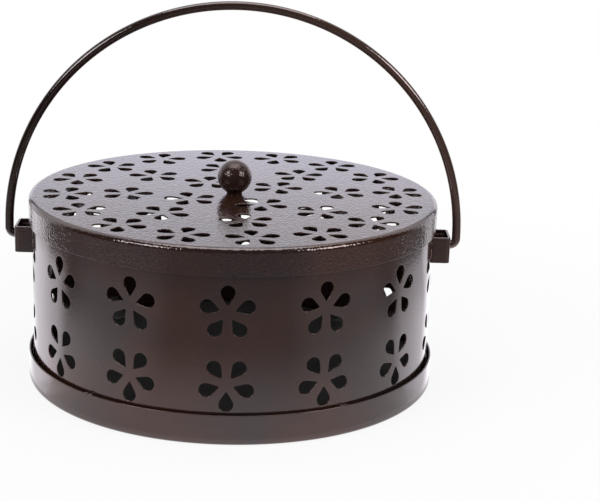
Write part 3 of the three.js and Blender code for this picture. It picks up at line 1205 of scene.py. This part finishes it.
    def clip(self) -> Surface:
        """Strip that stands on the mat and leans on the wall, as it lies at +X.

        Returns:
            The clip.
        """
        low, high = in_mm(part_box("mat_clip_1"))
        half, corner = self.clip_width / 2, self.clip_bend + self.sheet
        back = np.sqrt((self.wall_radius - self.sheet - self.clip_gap) ** 2 - half**2)
        legs = [self.clip_reach - corner, high[2] - low[2] - corner]
        fold = Fold((back - self.clip_reach, low[2]), legs, self.clip_bend, self.sheet)

        def form(blank: Array, depth: Array) -> Array:
            """Bends the strip in the XZ plane. Its width runs along -Y."""
            x, z = fold.place(blank[:, 0], depth)
            return join(x, -blank[:, 1], z)

        return Sheet(
            outline=Loops.rectangle((0, -half), (fold.length, half), self.clip_pitch),
            holes=[],
            thickness=self.sheet,
            form=form,
            fill_pitch=self.clip_fill_pitch,
        ).build()


@dataclass
class Bail:
    """Round wire bent to a half circle, with its ends turned in through the ears."""

    leg: float = 2.9
    bend: float = 1.9
    bend_steps: int = 10
    bend_gap: float = 0.4
    end_gap: float = 2.1
    end_steps: int = 4
    end_bulge: float = 0.45
    wire_radius: float = 1.325
    section_points: int = 28
    arch_steps: int = 160

    def build(self) -> None:
        """Makes the wire."""
        self.wire().make("bent_wire", "bail", Body.BAIL, WIRE)

    def path(self) -> tuple[Array, Array]:
        """Centre line in the XZ plane along pin, bend, leg and arch, mirrored.

        Returns:
            The points from the right end to the left end, and the heading at each in radians.
        """
        level = bail_pivot()[2]
        wall = in_mm(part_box("wall_band"))[1][0]
        arch = in_mm(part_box("bail"))[1][0] - self.wire_radius
        bend_x = arch - self.bend
        bend = np.linspace(-QUARTER, 0, self.bend_steps + 1)
        sweep = np.linspace(0, np.pi, self.arch_steps + 1)
        pin = np.array([[wall + self.end_gap, level], [bend_x - self.bend_gap, level]])
        half = np.concatenate([pin, [bend_x, level + self.bend] + self.bend * rays(bend)])
        arc = [0, level + self.leg] + arch * rays(sweep)
        heading = [[0, 0], bend + QUARTER, QUARTER + sweep, bend + TURN, [TURN, TURN]]
        return np.concatenate([half, arc, half[::-1] * [-1, 1]]), np.concatenate(heading)

    def wire(self) -> Surface:
        """Tube along the path, with a dome on each end.

        A section point is the centre line plus the wire's radius times cos a in the plane and times
        sin a across it.

        Returns:
            The wire.
        """
        line, heading = self.path()
        dome = np.linspace(0, QUARTER, self.end_steps + 1)[1:]
        bulge = self.end_bulge * self.wire_radius * join(np.sin(dome), 0 * dome)
        tilt = np.concatenate([dome[::-1], np.zeros(len(line)), -dome])
        line = np.concatenate([line[:1] - bulge[::-1], line, line[-1:] + bulge])
        heading = np.pad(heading, self.end_steps, "edge")
        zero = np.zeros(len(line))
        across = join(np.sin(heading), zero, -np.cos(heading))[:, None]
        along = join(np.cos(heading), zero, np.sin(heading))[:, None]
        spin = around(self.section_points)
        ray = np.cos(spin)[:, None] * across + np.sin(spin)[:, None] * np.array([0.0, 1.0, 0.0])
        girth, lean = np.cos(tilt)[:, None, None], np.sin(tilt)[:, None, None]
        points = join(line[:, 0], zero, line[:, 1])[:, None] + self.wire_radius * girth * ray
        rows = np.arange(len(line) * self.section_points).reshape(len(line), -1)
        faces = [bands(rows[1:-1]), fan(rows[0, 0], rows[1], False), fan(rows[-1, 0], rows[-2], True)]
        normals = unit((ray * girth - along * lean).reshape(-1, 3))
        return Surface(points.reshape(-1, 3), faces, normals).packed()


@dataclass
class Lid:
    """The pierced lid with its ball knob, and the screw and washer that hold the knob from below."""

    blossom: Blossom = field(default_factory=Blossom)
    sheet: float = 0.5
    slip_gap: float = 0.5
    corner_share: float = 0.9
    shoulder: float = 1.6
    skirt_edge: float = 0.08
    edge_margin: float = 1.6
    ring_webs: Triple = (2.2, 1.2, 0.0)
    ring_counts: tuple[int, int, int] = (16, 8, 4)
    ring_turns: Triple = (7.2, 7.2, 33.0)
    rim_points: int = 384
    neck_radius: float = 2.3
    neck_height: float = 0.5
    neck_bite: float = 0.06
    screw_radius: float = 1.25
    hole_radius: float = 1.55
    hole_margin: float = 0.85
    hole_depth: float = 4.8
    slot_half: float = 0.34
    slot_reach: float = 1.35
    slot_depth: float = 0.8
    slot_side: float = 0.12
    slot_end: float = 0.3
    slot_margin: float = 0.3
    skirt_steps: int = 10
    hole_points: int = 32
    ball_points: int = 40
    neck_points: int = 6
    head_points: int = 22
    knob_turns: int = 72
    bolt_turns: int = 96
    washer_steps: int = 4
    washer_edges: Pair = (0.08, 0.12)

    def __post_init__(self) -> None:
        """Reads the main sizes from the frame."""
        low, high = in_mm(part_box("lid_shell"))
        self.radius, self.top, self.bottom = high[0], high[2], low[2]

    def build(self) -> None:
        """Makes every piece of the lid."""
        self.shell().make("drawn_lid", "lid_shell", Body.LID, GRAINED)
        self.knob().make("turned_knob", "knob", Body.LID, BALL)
        self.screw().make("knob_bolt", "knob_screw", Body.LID, STEEL)
        self.washer().make("bolt_washer", "knob_washer", Body.LID, STEEL)

    def shell(self) -> Surface:
        """Flat top with three rings of blossoms, a rounded shoulder and a short skirt.

        Returns:
            The lid without its knob.
        """
        flat, under = self.radius - self.shoulder, self.top - self.sheet
        inner = self.radius - self.sheet
        corners = [
            (flat, under, 0),
            (inner, under, self.slip_gap * self.corner_share),
            (inner, self.bottom, self.skirt_edge),
            (self.radius, self.bottom, self.skirt_edge),
            (self.radius, self.top, self.shoulder),
            (flat, self.top, 0),
        ]
        line = Profile.filleted(corners, self.skirt_steps)
        ring_radius = flat - self.edge_margin - self.blossom.radius
        angles, radii = [], []
        for count, turn, web in zip(self.ring_counts, self.ring_turns, self.ring_webs):
            angles.append(np.radians(turn) + around(count))
            radii.append(np.full(count, ring_radius))
            ring_radius -= 2 * self.blossom.radius + web
        angle, radius = np.concatenate(angles), np.concatenate(radii)
        x, y = radius * np.cos(angle), radius * np.sin(angle)
        bolt_hole = Loops.circle(self.hole_radius, self.hole_points, True)
        return Sheet(
            outline=Loops.circle(flat, self.rim_points, False),
            holes=[self.blossom.cut(x, y, angle + np.pi), bolt_hole],
            thickness=self.sheet,
            form=lambda blank, depth: join(blank[:, 0], blank[:, 1], self.top - depth),
            keep_off=[self.blossom.keep_off(x, y), (np.zeros((1, 2)), self.hole_radius + self.hole_margin)],
            skirt=Profile(line.points[::-1], line.normals[::-1], line.edge[::-1]),
        ).build()

    def knob(self) -> Surface:
        """Turned ball on a short neck, with the blind hole for the bolt.

        Returns:
            The knob.
        """
        radius = in_mm(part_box("knob"))[1][0]
        centre = self.top + self.neck_height + np.sqrt(radius**2 - self.neck_radius**2)
        start = self.neck_bite - np.arccos(self.neck_radius / radius)
        sweep = np.linspace(start, QUARTER, self.ball_points)
        ball = [0, centre] + radius * rays(sweep)
        ball[-1, 0] = 0
        drop = np.linspace(0, 1, self.neck_points)[:-1, None]
        neck = np.array([[self.neck_radius, self.top]]) * (1 - drop) + ball[:1] * drop
        end = self.top + self.hole_depth
        hole = [[0, end], [self.hole_radius, end], [self.hole_radius, self.top]]
        line = Profile.traced(np.concatenate([hole, neck, ball]))
        line.normals[-1] = (0, 1)
        return line.revolve(self.knob_turns)

    def screw(self) -> Surface:
        """Round-head bolt seen from below, with a cross recess: two crossed slots pressed into its head.

        Returns:
            The bolt.
        """
        low, high = in_mm(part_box("knob_screw"))
        seat = in_mm(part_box("knob_washer"))[0][2]
        rise = np.linspace(0, QUARTER, self.head_points)
        head = join(high[0] * np.sin(rise), seat - (seat - low[2]) * np.cos(rise))
        shank = [[self.screw_radius, seat], [self.screw_radius, high[2]], [0, high[2]]]
        bolt = Profile.traced(np.concatenate([head, shank])).revolve(self.bolt_turns)
        x, y, z = bolt.points.T
        arm, reach = np.minimum(np.abs(x), np.abs(y)), np.maximum(np.abs(x), np.abs(y))
        slot = smooth((self.slot_half - arm) / self.slot_side)
        slot = slot * smooth((self.slot_reach - reach) / self.slot_end)
        bolt.points[:, 2] += self.slot_depth * slot * (z < seat - self.slot_margin)
        bolt.normals = None
        return bolt

    def washer(self) -> Surface:
        """Plain washer.

        Returns:
            The washer.
        """
        low, high = in_mm(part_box("knob_washer"))
        bore, rim = self.washer_edges
        corners = [
            (self.hole_radius, low[2], bore),
            (high[0], low[2], rim),
            (high[0], high[2], rim),
            (self.hole_radius, high[2], bore),
        ]
        ring = Profile.filleted(corners, self.washer_steps, closed=True)
        return ring.revolve(self.knob_turns, closed=True)


# The studio


def ahead(nodes: Nodes, degrees: float) -> Signal:
    """Cosine of a point's angle from a direction that is turned from the front by some degrees.

    Args:
        nodes: Node tree that it goes into.
        degrees: Turn of the direction from the front towards +X.

    Returns:
        The cosine.
    """
    turn = np.radians(degrees)
    kind, middle = "ShaderNodeVectorMath", (float(np.sin(turn)), -float(np.cos(turn)), 0.0)
    flat = nodes.add(kind, {"operation": "MULTIPLY"}, {0: nodes.place(), 1: (1, 1, 0)})
    ray = nodes.add(kind, {"operation": "NORMALIZE"}, {0: flat})
    return nodes.add(kind, {"operation": "DOT_PRODUCT"}, {0: ray, 1: middle}, "Value")


@dataclass(frozen=True)
class Card:
    """Card that only the gloss of the paint sees. A ramp says where a smooth step starts and ends."""

    name: str
    dark: Colour = (0.01, 0.01, 0.01)

    def grid(self) -> Array:
        """Rows of points in millimetres."""
        raise NotImplementedError

    def share(self, nodes: Nodes) -> Any:
        """Share of the card that isn't clear."""
        return 1.0

    def front(self, nodes: Nodes) -> Signal:
        """Shader of the share that isn't clear."""
        return nodes.add("ShaderNodeBsdfDiffuse", {}, {"Color": (*self.dark, 1.0)})

    def shader(self, nodes: Nodes) -> Signal:
        """The front over a clear shader."""
        front, clear = self.front(nodes), nodes.add("ShaderNodeBsdfTransparent", {}, {})
        return nodes.mix(self.share(nodes), clear, front)

    def build(self) -> None:
        """Makes the card."""
        grid = self.grid()
        number = np.arange(grid.shape[0] * grid.shape[1]).reshape(grid.shape[:2])
        faces = join(number[:-1, :-1], number[:-1, 1:], number[1:, 1:], number[1:, :-1]).reshape(-1, 4)
        material = new_material(self.name, self.shader)
        card = put(self.name, new_mesh(self.name, grid.reshape(-1, 3), faces.tolist(), material))
        card.visible_camera = card.visible_diffuse = card.visible_shadow = False
        card.visible_transmission = False


@dataclass(frozen=True)
class FrontCard(Card):
    """Dark upright card round the front."""

    turn: float = 6.0
    span: float = 150.0
    radius: float = 650.0
    height: float = 1500.0
    fade: Ramp = (-0.5, -0.15)
    points: int = 60

    def rim(self, radius: float, height: float) -> Array:
        """Points round the front at a radius and a height."""
        angle = np.radians(np.linspace(-self.span, self.span, self.points) + self.turn)
        return join(radius * np.sin(angle), -radius * np.cos(angle), 0 * angle + height)

    def grid(self) -> Array:
        """A band that stands on the floor."""
        return np.stack([self.rim(self.radius, 1.0), self.rim(self.radius, self.height)])

    def share(self, nodes: Nodes) -> Signal:
        """Dark past the sides."""
        return ahead(nodes, self.turn).between(*self.fade)


@dataclass(frozen=True)
class FloorCard(FrontCard):
    """Dark card on the floor in front: it stands for the studio that the wall of the box reflects."""

    inner: float = 66.0
    near_fade: Ramp = (0.0, 0.85)
    far_fade: Ramp = (-0.46, -0.38)
    widening: Ramp = (0.10, 0.17)
    darkening: Ramp = (0.065, 0.15)
    pale_share: float = 0.22
    dark_share: float = 0.58
    lobe: Ramp = (0.86, 0.99)
    lobes: tuple[Ramp, Ramp] = ((-55.0, 0.35), (55.0, 0.25))
    outer: Ramp = (0.18, 0.22)
    outer_calm: float = 0.6
    outer_dark: float = 0.06
    outer_fade: Ramp = (0.0, 0.35)

    def grid(self) -> Array:
        """A ring just above the floor."""
        return np.stack([self.rim(self.inner, 0.4), self.rim(self.radius, 1.0)])

    def share(self, nodes: Nodes) -> Signal:
        """Darker in front than at the sides, and darker and wider far out. Two lobes are paler.

        Args:
            nodes: Node tree that it goes into.

        Returns:
            The share that isn't clear.
        """
        reach = nodes.reach(nodes.place())
        front = ahead(nodes, self.turn)
        near, far = front.between(*self.near_fade), front.between(*self.far_fade)
        share = near + (far - near) * reach.between(*self.widening)
        share = share * (self.pale_share + self.dark_share * reach.between(*self.darkening))
        outer = reach.between(*self.outer)
        for degrees, pale in self.lobes:
            lobe = ahead(nodes, degrees).between(*self.lobe)
            share = share * (1 - pale * lobe * (1 - self.outer_calm * outer))
        return share * (1 + self.outer_dark * outer * front.between(*self.outer_fade))


@dataclass(frozen=True)
class BackCard(Card):
    """Bright upright card behind, which the top of the lid reflects."""

    half: float = 1500.0
    distance: float = 1200.0
    heights: Pair = (160.0, 900.0)
    low: Colour = (1.32, 1.36, 1.56)
    high: Colour = (0.84, 0.84, 0.86)
    change: Ramp = (0.30, 0.39)

    def grid(self) -> Array:
        """A rectangle that faces the front."""
        return np.array([[[x, self.distance, z] for x in (-self.half, self.half)] for z in self.heights])

    def front(self, nodes: Nodes) -> Signal:
        """Lilac and brightest low down."""
        height = nodes.part(nodes.place(), "Z").between(*self.change)
        return nodes.add("ShaderNodeEmission", {}, {"Color": nodes.blend(height, self.low, self.high)})


@dataclass(frozen=True)
class SideCard(Card):
    """Bright card on the floor beside the box.

    Its light is a function of the angle (radians) and the distance (metres) round a corner beside the pan,
    and of the distance from the origin: a near part, a foot at the corner, a late part and a far part.
    """

    side: int = 1
    peak: float = 0.5
    late: float = 0.9
    late_fade: Ramp = (0.13, 0.17)
    far: float = 0.0
    glow: Colour = (1.76, 1.76, 1.84)
    corner: Pair = (0.054, 0.031)
    near_rise: Ramp = (0.12, 0.46)
    near_fall: Ramp = (0.70, 1.35)
    near_fade: Ramp = (0.17, 0.205)
    foot: float = 0.3
    foot_rise: Ramp = (-1.4, 0.2)
    foot_gap: Ramp = (0.008, 0.016)
    late_rise: Ramp = (0.98, 1.20)
    far_rise: Ramp = (0.60, 0.68)
    far_fall: Ramp = (1.15, 1.30)
    far_start: Ramp = (0.198, 0.206)
    far_fade: Ramp = (0.24, 0.25)
    pan_edge: Ramp = (0.0630, 0.0635)
    level: float = 1.5
    x_range: Pair = (40.0, 250.0)
    y_range: Pair = (-60.0, 190.0)

    def grid(self) -> Array:
        """A rectangle just above the floor."""
        return np.array([[[x * self.side, y, self.level] for x in self.x_range] for y in self.y_range])

    def share(self, nodes: Nodes) -> Signal:
        """Bright from the side round towards the back, as seen from the pan's side, and fading outwards.

        Args:
            nodes: Node tree that it goes into.

        Returns:
            The share that isn't clear.
        """
        place = nodes.place()
        reach = nodes.reach(place)
        back = nodes.part(place, "Y") + self.corner[1]
        out = nodes.part(place, "X") * self.side - self.corner[0]
        turn = back.angle(out)
        gap = nodes.reach(nodes.add("ShaderNodeCombineXYZ", {}, {0: back, 1: out}))
        away = gap.between(*self.foot_gap)
        near = turn.between(*self.near_rise) * (1 - turn.between(*self.near_fall))
        near = near * (self.foot + (1 - self.foot) * away) * (1 - reach.between(*self.near_fade))
        foot = self.foot * turn.between(*self.foot_rise) * (1 - away)
        late = turn.between(*self.late_rise) * (1 - reach.between(*self.late_fade))
        far = turn.between(*self.far_rise) * (1 - turn.between(*self.far_fall))
        far = far * reach.between(*self.far_start) * (1 - reach.between(*self.far_fade))
        share = self.peak * (near + foot) + self.late * late + self.far * far
        return share * reach.between(*self.pan_edge)

    def front(self, nodes: Nodes) -> Signal:
        """White light."""
        return nodes.add("ShaderNodeEmission", {}, {"Color": (*self.glow, 1.0)})


@dataclass(frozen=True)
class Lamp:
    """Rectangular area light that looks at the box. Lengths in metres, power in watts."""

    name: str
    place: Triple
    size: Pair
    power: float
    target: Triple = (0.0, 0.0, 0.04)

    def build(self) -> None:
        """Makes the light."""
        lamp = bpy.data.lights.new(self.name, "AREA")
        lamp.shape, lamp.energy = "RECTANGLE", self.power
        lamp.size, lamp.size_y = self.size
        light = put(self.name, lamp)
        light.location = self.place
        aim = Vector(self.target) - light.location
        light.rotation_euler = aim.to_track_quat("-Z", "Y").to_euler()


@dataclass
class Studio:
    """A white sweep with soft light, seen by a long lens from a little above the lid."""

    camera_place: Triple = (8.63, -472.99, 174.28)
    look_right: float = 1.456
    look_down: float = 15.942
    roll: float = 1.922
    lens: float = 95.523
    sensor: float = 36.0
    sky: float = 0.45
    sky_tint: Colour = (0.97, 0.97, 1.0)
    floor_half: float = 3000.0
    floor_level: float = -0.05
    floor_tone: Colour = (0.8, 0.8, 0.8)
    floor_light: float = 0.88
    floor_reach: Ramp = (0.08, 0.28)
    cards: tuple[Card, ...] = (
        FrontCard("upright_card"),
        FloorCard("floor_card"),
        BackCard("back_card"),
        SideCard("left_card", side=-1, peak=0.95, late=0.5, late_fade=(0.08, 0.12), far=0.85),
        SideCard("right_card"),
    )
    lamps: tuple[Lamp, ...] = (
        Lamp("softbox", (0.0, 0.0, 0.95), (0.80, 0.60), 3.7),
        Lamp("front_left", (-0.40, -0.34, 0.35), (0.26, 0.18), 0.95),
        Lamp("front_right", (0.44, -0.28, 0.35), (0.26, 0.18), 1.1),
    )

    def build(self) -> None:
        """Makes the floor, the cards, the world, the lights and the camera."""
        scene = bpy.context.scene
        scene.view_settings.view_transform = "Standard"
        self.floor()
        for card in self.cards:
            card.build()
        self.world(scene)
        for lamp in self.lamps:
            lamp.build()
        self.camera(scene)

    def seen(self, nodes: Nodes) -> Signal:
        """1 for rays that show the background: camera, glossy and transmission rays.

        Args:
            nodes: Node tree that it goes into.

        Returns:
            The sum of the three kinds of ray.
        """
        outputs = nodes.add("ShaderNodeLightPath", {}, {}).socket.node.outputs
        names = ("Is Camera Ray", "Is Glossy Ray", "Is Transmission Ray")
        camera, glossy, through = (Signal(nodes, outputs[name]) for name in names)
        return camera + glossy + through

    def floor(self) -> None:
        """Pale floor under the box."""
        signs = ((-1, -1), (1, -1), (1, 1), (-1, 1))
        corners = np.array([[x * self.floor_half, y * self.floor_half, self.floor_level] for x, y in signs])
        material = new_material("pale_floor", self.floor_shader)
        put("floor", new_mesh("floor", corners, [[0, 1, 2, 3]], material))

    def floor_shader(self, nodes: Nodes) -> Signal:
        """Clear from below. Part of its white is its own, so that the object's shadow stays soft.

        Args:
            nodes: Node tree that it goes into.

        Returns:
            The shader.
        """
        matt = nodes.add("ShaderNodeBsdfDiffuse", {}, {"Color": (*self.floor_tone, 1.0)})
        white = nodes.add("ShaderNodeEmission", {}, {"Color": (1, 1, 1, 1), "Strength": 1.0})
        far = nodes.reach(nodes.place()).between(*self.floor_reach)
        lit = nodes.mix(self.floor_light + (1 - self.floor_light) * far, matt, white)
        below = nodes.add("ShaderNodeNewGeometry", {}, {}, "Backfacing")
        clear = nodes.add("ShaderNodeBsdfTransparent", {}, {})
        return nodes.mix(below, nodes.mix(self.seen(nodes), matt, lit), clear)

    def world(self, scene: bpy.types.Scene) -> None:
        """White where it is seen, and a dimmer sky for the light that it gives.

        Args:
            scene: Scene that gets the world.
        """
        world = bpy.data.worlds.new("white_sweep")
        world.use_nodes = True
        nodes = Nodes(world.node_tree)
        sky = nodes.add("ShaderNodeBackground", {}, {"Color": (*self.sky_tint, 1.0), "Strength": self.sky})
        white = nodes.add("ShaderNodeBackground", {}, {"Color": (1, 1, 1, 1), "Strength": 1.0})
        nodes.finish(nodes.mix(self.seen(nodes), sky, white), "ShaderNodeOutputWorld")
        scene.world = world

    def camera(self, scene: bpy.types.Scene) -> None:
        """Long lens at the photograph's place: turned right, tipped down and rolled.

        Args:
            scene: Scene that gets the camera.
        """
        yaw, pitch, roll = np.radians([self.look_right, self.look_down, self.roll])
        forward = np.array([np.sin(yaw) * np.cos(pitch), np.cos(yaw) * np.cos(pitch), -np.sin(pitch)])
        right = unit(np.cross(forward, [0, 0, 1]))
        up = np.cross(right, forward)
        tilted_right = np.cos(roll) * right + np.sin(roll) * up
        tilted_up = np.cos(roll) * up - np.sin(roll) * right
        turn = Matrix(join(tilted_right, tilted_up, -forward).tolist()).to_4x4()
        data = bpy.data.cameras.new("camera")
        data.lens, data.sensor_width = self.lens, self.sensor
        camera = put("camera", data)
        camera.matrix_world = Matrix.Translation(Vector(self.camera_place) * MM) @ turn
        scene.camera = camera


def main() -> None:
    """Builds the studio and the burner, and logs each piece."""
    Studio().build()
    Box().build()
    Bail().build()
    Lid().build()


if __name__ == "__main__":
    main()
